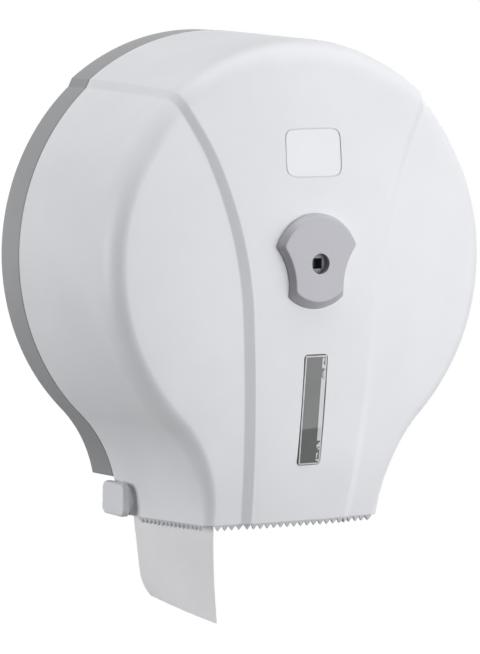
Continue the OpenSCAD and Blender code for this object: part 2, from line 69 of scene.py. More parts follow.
def carve(bm, other, how="DIFFERENCE"):
    # one boolean on throwaway objects, handed back as a new bmesh
    stock, tool = objectFrom("stock", bm), objectFrom("tool", other)
    cut = stock.modifiers.new("cut", "BOOLEAN")
    cut.operation, cut.object, cut.solver = how, tool, "EXACT"
    bpy.context.view_layer.update()
    mesh = bpy.data.meshes.new_from_object(stock.evaluated_get(bpy.context.evaluated_depsgraph_get()))
    result = bmesh.new()
    result.from_mesh(mesh)
    weld(result, 2e-6)
    bmesh.ops.dissolve_degenerate(result, edges=result.edges, dist=1e-6)
    for spare in (stock.data, tool.data, mesh):
        bpy.data.meshes.remove(spare)
    return result


def build(bm, adders, cutters):
    # they all reach a few millimetres past the surfaces that they join or open
    for other in adders:
        bm = carve(bm, other, "UNION")
    for other in cutters:
        bm = carve(bm, other)
    return bm


def finishPiece(name, bm, material, body, node, sharp=32):
    piece = objectFrom(name, bm)
    piece.data.materials.append(material)
    piece.data.shade_smooth()
    piece.data.set_sharp_from_angle(angle=radians(sharp))
    # flat faces keep flat shading beside small bevels
    even = piece.modifiers.new("even", "WEIGHTED_NORMAL")
    even.keep_sharp = True
    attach(piece, body)
    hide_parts(node)
    print("piece", name, len(piece.data.polygons), "faces")
    return piece


def rod(length, radius, centre, axis, segments):
    bm = bmesh.new()
    turn = Matrix.Translation([c * mm for c in centre]) @ Matrix.Rotation(radians(90), 4, axis)
    bmesh.ops.create_cone(bm, cap_ends=True, segments=segments, radius1=radius * mm, radius2=radius * mm,
                          depth=abs(length) * mm, matrix=turn)
    return bm


def along(depth0, depth1, radius, x=0.0, z=0.0, segments=64):
    # cylinder between two depths from the wall
    return rod(depth1 - depth0, radius, (x, -(depth0 + depth1) / 2, z), "X", segments)


def across(x0, x1, radius):
    # cylinder on the hinge's axis
    return rod(x1 - x0, radius, ((x0 + x1) / 2, -cover["hingeDepth"], hingeZ), "Y", 64)


def block(size, centre):
    bm = bmesh.new()
    bmesh.ops.create_cube(bm, size=1)
    bmesh.ops.scale(bm, vec=[s * mm for s in size], verts=bm.verts)
    bmesh.ops.translate(bm, vec=[c * mm for c in centre], verts=bm.verts)
    return bm


def put(bm, place):
    bmesh.ops.transform(bm, matrix=place, verts=bm.verts)
    if place.determinant() < 0:
        bmesh.ops.reverse_faces(bm, faces=bm.faces)
    return bm


def faceFront(bm):
    # makes an open shell's normals agree, with the foremost face away from the wall
    bmesh.ops.recalc_face_normals(bm, faces=bm.faces)
    front = min(bm.faces, key=lambda f: f.calc_center_median().y)
    bm.normal_update()
    if front.normal.y > 0:
        bmesh.ops.reverse_faces(bm, faces=bm.faces)


def outlineFace(points):
    # a flat face in XY from a capped circle whose corners go to the points
    bm = bmesh.new()
    bmesh.ops.create_circle(bm, cap_ends=True, segments=len(points), radius=1)
    for corner, (x, y) in zip(bm.faces[:][0].loops, points):
        corner.vert.co = (x * mm, y * mm, 0)
    bm.normal_update()
    if bm.faces[:][0].normal.z < 0:
        bmesh.ops.reverse_faces(bm, faces=bm.faces)
    return bm


def roundedFace(width, height, radius, segments=8):
    bm = bmesh.new()
    bmesh.ops.create_grid(bm, x_segments=1, y_segments=1, size=0.5)
    bmesh.ops.scale(bm, vec=(width * mm, height * mm, 1), verts=bm.verts)
    bmesh.ops.bevel(bm, geom=bm.verts[:], offset=radius * mm, offset_type="OFFSET", segments=segments,
                    profile=0.5, affect="VERTICES", material=-1)
    bm.normal_update()
    return bm


def raiseFace(bm, height, below=0.0):
    # turns a flat face in XY into a slab from -below to height
    bmesh.ops.translate(bm, vec=(0, 0, -below * mm), verts=bm.verts)
    made = bmesh.ops.extrude_face_region(bm, geom=bm.faces[:])["geom"]
    bmesh.ops.translate(bm, vec=(0, 0, (height + below) * mm),
                        verts=[part for part in made if isinstance(part, bmesh.types.BMVert)])
    bmesh.ops.recalc_face_normals(bm, faces=bm.faces)
    return bm


def softenEdges(bm, offset, segments=2, angle=60, only=None):
    bm.normal_update()
    edges = [e for e in bm.edges if len(e.link_faces) == 2 and e.calc_face_angle(0) > radians(angle)
             and (only is None or only(e))]
    bmesh.ops.bevel(bm, geom=edges, offset=offset * mm, offset_type="OFFSET", segments=segments, profile=0.5,
                    affect="EDGES", material=-1, clamp_overlap=True)
    return bm


# Small helpers for materials.
def linear(hexColour):
    values = [int(hexColour[k:k + 2], 16) / 255 for k in (1, 3, 5)]
    return [v / 12.92 if v <= 0.04045 else ((v + 0.055) / 1.055) ** 2.4 for v in values] + [1.0]


def addNode(tree, kind, inputs, **settings):
    # an input is another node, one of its sockets, a hex colour or a plain value
    made = tree.nodes.new("ShaderNode" + kind)
    for key, value in settings.items():
        setattr(made, key, value)
    for key, value in inputs.items():
        if isinstance(value, bpy.types.Node):
            value = value.outputs[0]
        if isinstance(value, bpy.types.NodeSocket):
            tree.links.new(value, made.inputs[key])
        else:
            made.inputs[key].default_value = linear(value) if isinstance(value, str) else value
    return made


def newMaterial(name):
    # the material, its nodes and the place on the object that its patterns read
    made = bpy.data.materials.new(name)
    made.use_nodes = True
    made.node_tree.nodes.clear()
    return made, made.node_tree, addNode(made.node_tree, "TexCoord", {}).outputs["Object"]


def closeMaterial(tree, look, tone, rough, relief, more):
    # tone mixes the look's two colours; rough is a pattern with the least and most roughness; relief is a pattern
    # with its strength and height
    colour = addNode(tree, "Mix", {0: tone, 6: look["darker"], 7: look["lighter"]}, data_type="RGBA")
    rough = addNode(tree, "MapRange", {0: rough[0], 3: rough[1], 4: rough[2]})
    bump = addNode(tree, "Bump", {"Strength": relief[1], "Distance": relief[2] * mm, "Height": relief[0]})
    shader = addNode(tree, "BsdfPrincipled", {
        "Base Color": colour.outputs[2], "Roughness": rough, "Normal": bump, **more})
    addNode(tree, "OutputMaterial", {"Surface": shader})


def noiseScale(size):
    # a noise pattern's scale from the size of its spots
    return 1 / (size * mm)


def waveScale(pitch):
    # a wave texture has 20 radians to a unit
    return pi / (10 * pitch * mm)


# Injection-moulded plastic: even colour, a satin skin with a very fine grain, slow mottling from the melt's flow.
def mouldedPlastic(name, look, ior=1.53, grainDepth=0.006):
    material, tree, place = newMaterial(name)
    flow = addNode(tree, "TexNoise", {"Vector": place, "Scale": noiseScale(55), "Detail": 3.0, "Roughness": 0.5})
    # the real grain is about 0.05 mm, too fine for the render, so it is drawn at 0.6 mm
    grain = addNode(tree, "TexNoise", {"Vector": place, "Scale": noiseScale(0.6), "Detail": 2.0})
    share = addNode(tree, "MapRange", {0: flow, 1: 0.3, 2: 0.7})
    rough = (share, look["roughness"] - 0.04, look["roughness"] + 0.04)
    closeMaterial(tree, look, share, rough, (grain, 0.35, grainDepth), {"IOR": ior})
    return material


# Plated or blackened metal: turned, pressed or die-cast parts with a dull, slightly cloudy skin and fine scuffs.
def platedMetal(name, look, cloud=4.0):
    material, tree, place = newMaterial(name)
    patches = addNode(tree, "TexNoise", {"Vector": place, "Scale": noiseScale(cloud), "Detail": 4.0})
    scuffs = addNode(tree, "TexNoise", {"Vector": place, "Scale": noiseScale(0.4), "Detail": 2.0})
    share = addNode(tree, "MapRange", {0: patches, 1: 0.3, 2: 0.7})
    rough = (share, look["roughness"] - 0.07, look["roughness"] + 0.07)
    closeMaterial(tree, look, patches, rough, (scuffs, 0.3, 0.01), {"Metallic": 1.0})
    return material


# Outline and front, shared by the cover, the wall plate and the tear strip.
form = dict(
    sideRadius=112.4,      # round side wall
    bandHeight=2.0,        # how far the raised top band stands out at its ends
    bandSink=0.85,         # how much less it does in the middle
    bandAngle=40.4,        # its half angle
    neckHalf=54.0, neckRadius=70.0,
    frontDepth=120.6, domeRadius=580.25, domeHeight=-10.0,
    panelHeight=2.05,      # raised centre panel
    edgeLength=19.5, edgeSideLength=23.0, edgeCornerLength=15.0, edgeFootLength=8.4,     # of the soft front edge
    sideFrom=(42, 75), cornerFrom=(24, 40), cornerTo=(43, 60), footFrom=-62,             # where each length holds
    edgeSidePower=2.3,     # 1 is a round edge, more turns it faster towards the front
    flare=1.8,             # how much wider the raised band is at the front
    flareFrom=(50, 84),    # heights between which it widens
    sideShare=0.85,        # share of its width reached on the side wall
    wall=2.4, draft=2.4, backDepth=19.3,
    creaseFoot=29.8, creaseLean=0.07, creaseBend=-25.0, creaseWidth=5.0,
    rimUp=-1.6, rimRise=0.052, rimBlend=34,
    rayFoot=-60, rayShare=0.76,      # above rayFoot the ribs close up along the middle line
)
edgeTurn = radians(80)
sideRadius, neckRadius, halfCrease = form["sideRadius"], form["neckRadius"], form["creaseWidth"] / 2
neckX = form["neckHalf"] + neckRadius
neckZ = -sqrt((sideRadius + neckRadius) ** 2 - neckX ** 2)
neckTurn = atan2(neckX, neckZ)
rimZ = neckZ + form["rimUp"]
notchX = sideRadius * sin(radians(form["bandAngle"]))
notchZ = sideRadius * cos(radians(form["bandAngle"]))
creaseCurve = ((notchX - form["creaseFoot"] - form["creaseLean"] * (notchZ - rimZ))
               / (notchZ - form["creaseBend"]) ** 2)
roundLength = sideRadius * neckTurn
lineLength = roundLength + neckRadius * (neckTurn - pi / 2)


def ease(low, high, value):
    t = max(0.0, min(1.0, (value - low) / (high - low)))
    return t * t * (3 - 2 * t)


def creaseX(z, share=1.0):
    # share is 0 at the wall plate and 1 at the front
    return (form["creaseFoot"] + form["creaseLean"] * (z - rimZ)
            + creaseCurve * max(0.0, z - form["creaseBend"]) ** 2
            + form["flare"] * share ** 3 * ease(*form["flareFrom"], z))


def fromCrease(x, z, share=1.0):
    return abs(x) - creaseX(z, share)


def raised(x, z, share=1.0):
    # 1 on the raised band and panel, 0 outside the crease
    return 1 - max(0.0, min(1.0, fromCrease(x, z, share) / form["creaseWidth"] + 0.5))


def bandLift(x):
    return form["bandHeight"] - form["bandSink"] * max(0.0, 1 - (x / notchX) ** 2)


def plainDepth(x, z):
    return form["frontDepth"] - (x * x + (z - form["domeHeight"]) ** 2) / (2 * form["domeRadius"])


def frontDepth(x, z):
    return plainDepth(x, z) + form["panelHeight"] * raised(x, z)


def rimAt(depth):
    return rimZ + form["rimRise"] * (depth - form["backDepth"])


def foot(z, depth):
    # the neck's lower end follows the sloping rim
    return z + (1 - ease(neckZ, neckZ + form["rimBlend"], z)) * (rimAt(depth) - neckZ)


def outlineAt(s, band=True):
    # half outline at a length from the top: x, z and the outward normal
    if s <= roundLength:
        a = s / sideRadius
        x, z = sideRadius * sin(a), sideRadius * cos(a)
    else:
        a = neckTurn - (s - roundLength) / neckRadius
        x, z = neckX - neckRadius * sin(a), neckZ - neckRadius * cos(a)
    h = bandLift(x) * raised(x, z, 0.0) if band else 0.0
    return x + h * sin(a), z + h * cos(a), sin(a), cos(a)


def halve(test, low, high):
    # the place between low and high where the test stops holding
    for _ in range(30):
        middle = (low + high) / 2
        low, high = (middle, high) if test(middle) else (low, middle)
    return (low + high) / 2


def spaced(low, high, count):
    return [low + (high - low) * k / count for k in range(count + 1)]


# Ribs run from the wall plate over the edge to the middle line, closer together beside the crease.
ribCounts = dict(top=34, crease=9, beside=18, side=114)
bandIn, bandOut = (halve(lambda s: fromCrease(*outlineAt(s, False)[:2], 0.0) < edge, 40, 110)
                   for edge in (-halfCrease, halfCrease))
ribPlaces = (spaced(0, bandIn - 1.2, ribCounts["top"]) + [bandIn - 0.4, bandIn]
             + spaced(bandIn + 0.4, bandOut - 0.4, ribCounts["crease"]) + [bandOut]
             + spaced(bandOut + 0.4, bandOut + 8, ribCounts["beside"])
             + spaced(bandOut + 9.2, lineLength, ribCounts["side"]))
sideSteps, arcSteps, beforeSteps, panelSteps = 7, 14, 7, 15


def softEdge(length, power):
    # (inwards, forwards, turn) along the edge from the side wall to the front
    run, inwards, forwards, finer = [(0.0, 0.0, 0.0)], 0.0, 0.0, 8
    count = arcSteps * finer
    for k in range(count):
        a = edgeTurn * ((k + 0.5) / count) ** power
        inwards += sin(a) * length / count
        forwards += cos(a) * length / count
        if (k + 1) % finer == 0:
            run.append((inwards, forwards, edgeTurn * ((k + 1) / count) ** power))
    return run


def ribAt(s, inset=0.0):
    # points from the back edge over the soft edge to the middle line
    x, z, nx, nz = outlineAt(s, False)
    turned = degrees(s / sideRadius)
    side, low = ease(*form["sideFrom"], turned), 1 - ease(neckZ, form["footFrom"], z)
    corner = ease(*form["cornerFrom"], turned) * (1 - ease(*form["cornerTo"], turned))
    length = form["edgeLength"] + (form["edgeSideLength"] - form["edgeLength"]) * side
    length += (form["edgeCornerLength"] - length) * corner
    length += (form["edgeFootLength"] - length) * low
    power = 1 + (form["edgeSidePower"] - 1) * side * (1 - low)
    edge = softEdge(length - inset * edgeTurn, power)
    bx, bz = x - nx * inset, z - nz * inset
    drawIn = form["draft"] + edge[-1][0]
    fx, fz = bx - nx * drawIn, bz - nz * drawIn
    rise = plainDepth(fx, fz) - inset - edge[-1][1]
    points = []
    for k in range(sideSteps):
        t = k / sideSteps
        px, pz = bx - nx * form["draft"] * t, bz - nz * form["draft"] * t
        lift = bandLift(px) * raised(px, pz, t * form["sideShare"])
        depth = form["backDepth"] + (rise - form["backDepth"]) * t
        points.append((px + nx * lift, -depth, foot(pz + nz * lift, depth)))
    for k, (inwards, forwards, a) in enumerate(edge):
        px, pz = bx - nx * (form["draft"] + inwards), bz - nz * (form["draft"] + inwards)
        t = k / arcSteps
        share = form["sideShare"] + (1 - form["sideShare"]) * t
        lift = raised(px, pz, share) * (bandLift(px) + (form["panelHeight"] - bandLift(px)) * t)
        depth = rise + forwards + lift * sin(a)
        px, pz = px + nx * lift * cos(a), pz + nz * lift * cos(a)
        points.append((px, -depth, foot(pz, depth)))
    middleZ = z if z < form["rayFoot"] else form["rayFoot"] + (z - form["rayFoot"]) * form["rayShare"]

    def ray(u):
        return fx * (1 - u), fz + (middleZ - fz) * u

    def crossing(edge):
        test = lambda u: fromCrease(*ray(u)) > edge
        return halve(test, 0.0, 1.0) if test(0.0) else 0.0

    # three points at each edge of the crease keep it crisp
    first, second = crossing(halfCrease), crossing(-halfCrease)
    small = 0.35 / max(20.0, abs(fx))
    last = second + small
    shares = [first * k / beforeSteps for k in range(1, beforeSteps)]
    shares += [first - small, first, first + small, (first + second) / 2, second - small, second, last]
    shares += [last + (1 - last) * k / panelSteps for k in range(1, panelSteps + 1)]
    before = 0.0
    # where points would fall together, each still goes a quarter of an even step on
    for k, u in enumerate(shares):
        before = min(1.0, max(u, before + (1 - before) * 0.25 / (len(shares) - k)))
        px, pz = ray(before)
        depth = frontDepth(px, pz) - inset
        points.append((px, -depth, foot(pz, depth)))
    return points


# Frames that carry a flat shape to its place.
def frontFrame(z):
    # on the middle of the front: X sideways, Y up along it, Z outwards
    lean = atan((z - form["domeHeight"]) / form["domeRadius"])
    return (Matrix.Translation((0, -frontDepth(0, z) * mm, z * mm))
            @ Matrix.Rotation(radians(90) - lean, 4, "X"))


def wallFrame(depth=0.0):
    # X sideways, Y up, Z outwards from the wall
    return Matrix.Translation((0, -depth * mm, 0)) @ Matrix.Rotation(radians(90), 4, "X")


def sideFrame(x, depth=0.0, z=0.0, side=1):
    # X is the depth, Y up, Z to the right, or to the left where side is -1
    return Matrix(((0, 0, side, x * mm), (-1, 0, 0, -depth * mm), (0, 1, 0, z * mm), (0, 0, 0, 1)))


# Shield round the keyhole, whose outline the cover is cut to.
shield = dict(
    darker="#AEAEB6", lighter="#B6B6BE", roughness=0.4,
    width=46.4, top=24.9, tip=8.5, footWidth=32.0, footZ=-16.6, low=-22.8, hollow=2.8,
    back=122.05, front=126.8, wall=1.2, fit=1.004,     # the cover's recess is larger by fit
    bevels=(2.1, 2.0, 3.7, 2.0), soften=0.45,            # over the top, right, below, left
    keyRadius=5.2, bodyRadius=11.2, bodyDeep=2.0, screwX=13.5, screwZ=9.0, screwRadius=1.1, screwDeep=3.4,
)


def lengthsAlong(line):
    lengths = [0.0]
    for p, q in zip(line, line[1:]):
        lengths.append(lengths[-1] + dist(p, q))
    return lengths


def pointOn(line, lengths, length):
    k = max(i for i in range(len(lengths) - 1) if lengths[i] <= length + 1e-9)
    t = min(1.0, (length - lengths[k]) / (lengths[k + 1] - lengths[k]))
    return tuple(a + (b - a) * t for a, b in zip(line[k], line[k + 1]))


def shieldPoints(insets=(0, 0, 0, 0), rounding=2):
    # arc over the top, hollow flanks and an arc below, moved inwards, with four rounded corners
    half, footHalf = shield["width"] / 2, shield["footWidth"] / 2
    corners = [(-half, shield["tip"]), (half, shield["tip"]),
               (footHalf, shield["footZ"]), (-footHalf, shield["footZ"])]
    bulges = [shield["tip"] - shield["top"], shield["hollow"], shield["low"] - shield["footZ"], shield["hollow"]]
    counts = [150, 72, 90, 72]
    lines = []
    for k in range(4):
        start, end, inset = corners[k], corners[(k + 1) % 4], insets[k]
        dx, dz = end[0] - start[0], end[1] - start[1]
        chord, rise, turn = hypot(dx, dz) / 2, abs(bulges[k]), copysign(1, bulges[k])
        radius = (chord ** 2 + rise ** 2) / (2 * rise)
        # an inset arc runs a little past its corners, so that it crosses the next one
        sweep = asin(chord / radius)
        past = sweep * (1.15 if any(insets) else 1.0)
        ux, uz = dx / (2 * chord), dz / (2 * chord)
        line = []
        for a in spaced(-past, past, counts[k]):
            # along the chord, and to its right out to the arc and in again by the inset
            ahead = chord + (radius + inset * turn) * sin(a)
            beside = turn * (radius * cos(a) - radius + rise) + inset * cos(a)
            line.append((start[0] + ux * ahead + uz * beside, start[1] + uz * ahead - ux * beside))
        lines.append(line)
    for k in range(4 if any(insets) else 0):
        one, two = lines[k], lines[(k + 1) % 4]
        i, j = next((i, j) for i in range(len(one) - 2, -1, -1) for j in range(len(two) - 1)
                    if geometry.intersect_line_line_2d(*one[i:i + 2], *two[j:j + 2]))
        found = tuple(geometry.intersect_line_line_2d(*one[i:i + 2], *two[j:j + 2]))
        lines[k], lines[(k + 1) % 4] = one[:i + 1] + [found], [found] + two[j + 1:]
    fine = []
    for line, count in zip(lines, counts):
        lengths = lengthsAlong(line)
        fine += [pointOn(line, lengths, lengths[-1] * step / count) for step in range(count)]
    # the mean over a few neighbours rounds the corners
    reach = range(-rounding, rounding + 1)
    return [tuple(sum(fine[(k + j) % len(fine)][axis] for j in reach) / len(reach) for axis in (0, 1))
            for k in range(0, len(fine), 3)]


# Cover.
cover = dict(
    darker="#E3E4E8", lighter="#EAEBEF", roughness=0.5,
    bossRadius=8.6, bossIn=50.6, bossOut=57.2, hingeDepth=27.2, hingeUp=9.0, pinBore=4.28,
    windowWidth=13.9, windowHeight=56.8, windowX=1.5, windowZ=-74.0, windowCorner=2.0,
    badgeWidth=32.7, badgeHeight=24.8, badgeZ=54.9, badgeDeep=1.0,
    lockFloor=122.0, lockPad=118.0, padRadius=20.0, lockHole=8.9, screwHole=1.5, through=(112, 128), soften=0.6,
)
hingeZ = rimZ + cover["hingeUp"]
windowFrame = frontFrame(cover["windowZ"]) @ Matrix.Translation((cover["windowX"] * mm, 0, 0))
# Moulded white ABS: a cool white with a satin sheen that rolls slowly over the soft edge.
whiteAbs = mouldedPlastic("moulded white ABS", cover)


def squirclePoints(width, height, count=72, power=0.32):
    points = []
    for k in range(count):
        a = 2 * pi * k / count
        c, s = cos(a), sin(a)
        points.append((copysign(abs(c) ** power, c) * width / 2, copysign(abs(s) ** power, s) * height / 2))
    return points


def coverShell():
    ribs = [ribAt(s) for s in ribPlaces]
    rows, columns = len(ribs) - 1, len(ribs[0]) - 1
    bm = bmesh.new()
    bmesh.ops.create_grid(bm, x_segments=columns, y_segments=rows, size=1)
    for vert in bm.verts:
        i, j = round((vert.co.y + 1) / 2 * rows), round((vert.co.x + 1) / 2 * columns)
        vert.co = [c * mm for c in ribs[i][j]]
        if i == 0 or j == columns:
            vert.co.x = 0
    bmesh.ops.mirror(bm, geom=bm.verts[:] + bm.edges[:] + bm.faces[:], merge_dist=1e-6, axis="X")
    weld(bm, 2e-6)
    faceFront(bm)
    bmesh.ops.solidify(bm, geom=bm.faces[:], thickness=form["wall"] * mm)
    # a rounded back edge beside the plate
    back = -form["backDepth"] * mm
    softenEdges(bm, cover["soften"], 3, only=lambda e: all(abs(v.co.y - back) < 2e-5 for v in e.verts))
    return bm


shell = coverShell()
print("cover shell", len(shell.faces), "faces")
adders = [along(cover["lockPad"], cover["lockFloor"] - 0.2, cover["padRadius"])]
cutters = []
for side in (-1, 1):
    adders.append(across(side * cover["bossIn"], side * cover["bossOut"], cover["bossRadius"]))
    cutters.append(across(side * (cover["bossIn"] - 1), side * (cover["bossOut"] + 8), cover["pinBore"]))
windowCut = roundedFace(cover["windowWidth"], cover["windowHeight"], cover["windowCorner"])
cutters.append(put(raiseFace(windowCut, 6, 6), windowFrame))
badgeCut = outlineFace(squirclePoints(cover["badgeWidth"], cover["badgeHeight"]))
cutters.append(put(raiseFace(badgeCut, 4, cover["badgeDeep"]), frontFrame(cover["badgeZ"])))
shieldCut = outlineFace([(x * shield["fit"], z * shield["fit"]) for x, z in shieldPoints()])
cutters.append(put(raiseFace(shieldCut, 8), wallFrame(cover["lockFloor"])))
cutters.append(along(*cover["through"], cover["lockHole"]))
for side in (1, -1):
    cutters.append(along(*cover["through"], cover["screwHole"], side * shield["screwX"], shield["screwZ"], 32))
finishPiece("whiteCover", build(shell, adders, cutters), whiteAbs, "cover", "front_cover", sharp=24)

# Tear strip.
tear = dict(
    # the greyer colours are painted shade on the teeth
    darker="#C4C5C9", lighter="#CACBCF", roughness=0.42,
    inset=0.3, thick=1.6, overlap=0.05, band=0.5, height=2.8, pitch=3.95, lean=0.8,
    back=40.0, turn=99.0, half=47.0,      # the teeth run from depth back to turn, and on the front within half
    play=0.3, apart=0.4, step=0.5,        # plain ends, least distance between points, and step to read the line's run
)
# The cover's plastic on the cut teeth, greyed with painted shade that stands in for the shade on their downward
# slanting faces.
teethPaintedShadeAbs = mouldedPlastic("cut white ABS with painted shade", tear)


def tearLine():
    # the foot's line at the strip's inset, from the back of the left side over the front to the right, (x, depth)
    line = [(-p[0], -p[1]) for p in ribAt(lineLength, tear["inset"])]
    start, after = line[0], line[1]
    t = (tear["back"] - form["backDepth"]) / (after[1] - form["backDepth"])
    half = [(start[0] + (after[0] - start[0]) * t, tear["back"])]
    half += [p for p in line if p[1] > tear["back"] + tear["step"]]
    return half + [(-x, d) for x, d in reversed(half[:-1])]


def tearStrip():
    line = tearLine()
    lengths = lengthsAlong(line)
    total = lengths[-1]
    sideEnd = tear["turn"] - tear["back"]
    frontStart = next(l for l, p in zip(lengths, line) if p[0] > -tear["half"] and p[1] > tear["turn"])
    # each stop is a length and whether a tooth's tip is there
    stops = [(0, 0), (total, 0)]
    toothed = ((tear["play"], sideEnd), (frontStart, total - frontStart), (total - sideEnd, total - tear["play"]))
    for low, high in toothed:
        count = round((high - low) / tear["pitch"])
        edges = spaced(low, high, count)
        stops += [(a, 0) for a in edges] + [((a + b) / 2, 1) for a, b in zip(edges, edges[1:])]
    # the plain corners keep the line's own points
    plain = sideEnd + tear["apart"], frontStart - tear["apart"]
    stops += [(l, 0) for l in lengths if plain[0] < min(l, total - l) < plain[1]]
    stops.sort()
    bm = bmesh.new()
    bmesh.ops.create_grid(bm, x_segments=len(stops) - 1, y_segments=2, size=1)
    for vert in bm.verts:
        length, tip = stops[round((vert.co.x + 1) / 2 * (len(stops) - 1))]
        row = 2 - round(vert.co.y + 1)
        x, depth = pointOn(line, lengths, length)
        drop = (tear["overlap"], tear["band"], tear["band"] + tear["height"] * tip)[row]
        x0, depth0 = pointOn(line, lengths, max(0.0, length - tear["step"]))
        x1, depth1 = pointOn(line, lengths, min(total, length + tear["step"]))
        lean = tear["lean"] * tip * (row == 2) / dist((x0, depth0), (x1, depth1))
        x, y, z = x + (depth1 - depth0) * lean, -depth + (x1 - x0) * lean, rimAt(depth) - drop
        vert.co = (x * mm, y * mm, z * mm)
    weld(bm)
    bmesh.ops.dissolve_degenerate(bm, edges=bm.edges, dist=1e-7)
    faceFront(bm)
    bmesh.ops.solidify(bm, geom=bm.faces[:], thickness=tear["thick"] * mm)
    return bm


finishPiece("tearStrip", tearStrip(), teethPaintedShadeAbs, "cover", "tear_edge", sharp=24)

# Wall plate.
plate = dict(
    darker="#8E8F91", lighter="#969799", roughness=0.44,
    depth=19.0, rim=2.4, floor=3.0, endUp=19.2, flare=2.0, flareFrom=80,
    lipOut=3.2, lipIn=5.0, lipUp=6.0,          # a second rim inside the first
    ribs=(0, 45, 90, 135), ribDeep=6, ribThick=1.8, ribEnd=4,
    screwDx=110.0, screwDz=90.0, screwRadius=2.6, padRadius=7, padDeep=4,
    bossHeight=9.0, bossRadius=26.0, screwRing=19.0, flangeScrew=1.5,
    lugIn=46.9, lugOut=50.3, lugRadius=7.8, lugHigh=26, lugBack=20, pinRadius=4.22,
    soften=0.7, lugSoften=0.4,
)
plateEnd = rimZ + plate["endUp"]
# Moulded grey ABS with a slightly coarser skin than the cover's.
greyAbs = mouldedPlastic("moulded grey ABS", plate, grainDepth=0.03)


def plateOutline(inset, end):
    right = []
    for s in ribPlaces:
        x, z, nx, nz = outlineAt(s)
        x, z = x - inset * nx, z - inset * nz
        if z < end + 0.6:
            t = (end - right[-1][1]) / (z - right[-1][1])
            right.append((right[-1][0] + (x - right[-1][0]) * t, end))
            break
        right.append((x, z))
    return right + [(-x, z) for x, z in reversed(right[1:])]


def lugOutline():
    # side view of a hinge lug, (depth, height): a round nose run back to the plate
    back, front, high = plate["floor"] - 1, plate["depth"], plateEnd + plate["lugHigh"]
    cloud = [(back, plateEnd + plate["lugBack"]), (back, high), (front, high), (front, plateEnd)]
    for a in range(0, 360, 8):
        cloud.append((cover["hingeDepth"] + plate["lugRadius"] * cos(radians(a)),
                      hingeZ + plate["lugRadius"] * sin(radians(a))))
    return [cloud[k] for k in geometry.convex_hull_2d(cloud)]


def plateBody():
    floor = plate["floor"]
    bm = raiseFace(outlineFace(plateOutline(0, plateEnd)), plate["depth"])
    # the neck flares towards the wall
    for vert in bm.verts:
        if vert.co.z < mm:
            low = max(0.0, min(1.0, (-vert.co.y / mm - plate["flareFrom"]) / (-plateEnd - plate["flareFrom"])))
            vert.co.x += copysign(plate["flare"] * low * mm, vert.co.x)
    softenEdges(bm, plate["soften"], 3)
    pocket = outlineFace(plateOutline(plate["rim"], plateEnd + plate["rim"]))
    bm = carve(bm, raiseFace(pocket, plate["depth"] + 2, -floor))
    lipOut = outlineFace(plateOutline(plate["lipOut"], plateEnd + plate["lipUp"]))
    lipIn = outlineFace(plateOutline(plate["lipIn"], plateEnd + plate["lipUp"] + 2))
    lip = carve(raiseFace(lipOut, plate["depth"] + 1, 1 - floor), raiseFace(lipIn, plate["depth"] + 2, 2 - floor))
    bm = put(carve(bm, lip, "UNION"), wallFrame())
    adders = [along(floor - 1, floor + plate["bossHeight"], plate["bossRadius"])]
    for a in plate["ribs"]:
        rib = block((2 * (sideRadius - plate["ribEnd"]), plate["ribDeep"], plate["ribThick"]), (0, -floor - 2, 0))
        adders.append(put(rib, Matrix.Rotation(radians(a), 4, "Y")))
    cutters = []
    for sx in (-1, 1):
        for sz in (-1, 1):
            x, z = sx * plate["screwDx"] / 2, sz * plate["screwDz"] / 2
            adders.append(along(floor - 1, floor + plate["padDeep"], plate["padRadius"], x, z, 48))
            cutters.append(along(-1, floor + 9, plate["screwRadius"], x, z, 40))
        lug = raiseFace(outlineFace(lugOutline()), plate["lugOut"] - plate["lugIn"])
        softenEdges(lug, plate["lugSoften"])
        adders.append(put(lug, sideFrame(plate["lugIn"] if sx > 0 else -plate["lugOut"])))
    for a in (0, 120, 240):
        x, z = plate["screwRing"] * sin(radians(a)), plate["screwRing"] * cos(radians(a))
        cutters.append(along(floor + 1, floor + plate["bossHeight"] + 1, plate["flangeScrew"], x, z, 24))
    middle = (plate["lugIn"] + plate["lugOut"]) / 2
    cutters += [across(sx * middle - 4, sx * middle + 4, plate["pinRadius"]) for sx in (-1, 1)]
    return build(bm, adders, cutters)


finishPiece("wallPlate", plateBody(), greyAbs, "base", "rear_plate", sharp=30)

# Hinge pins with rounded square heads.
pins = dict(darker="#DDDEE2", lighter="#E3E4E8", roughness=0.4, radius=4.2, width=22.6, height=17.0, corner=3.6,
            ahead=-0.6, headIn=57.5, headOut=61.1, soften=1.4, shankSoften=0.4)
# Moulded acetal, a hair greyer than the cover.
pinAcetal = mouldedPlastic("moulded pale acetal", pins, 1.48)


def hingePin(side):
    head = roundedFace(pins["width"], pins["height"], pins["corner"], 10)
    raiseFace(head, pins["headOut"] - pins["headIn"])
    softenEdges(head, pins["soften"], 5, only=lambda e: all(v.co.z > mm for v in e.verts))
    put(head, sideFrame(side * pins["headIn"], cover["hingeDepth"] + pins["ahead"], hingeZ, side))
    shank = across(side * plate["lugIn"], side * (pins["headIn"] + 1), pins["radius"])
    return carve(head, softenEdges(shank, pins["shankSoften"]), "UNION")


for side, name, node in ((-1, "hingePinLeft", "hinge_pin_left"), (1, "hingePinRight", "hinge_pin_right")):
    finishPiece(name, hingePin(side), pinAcetal, "base", node, sharp=30)

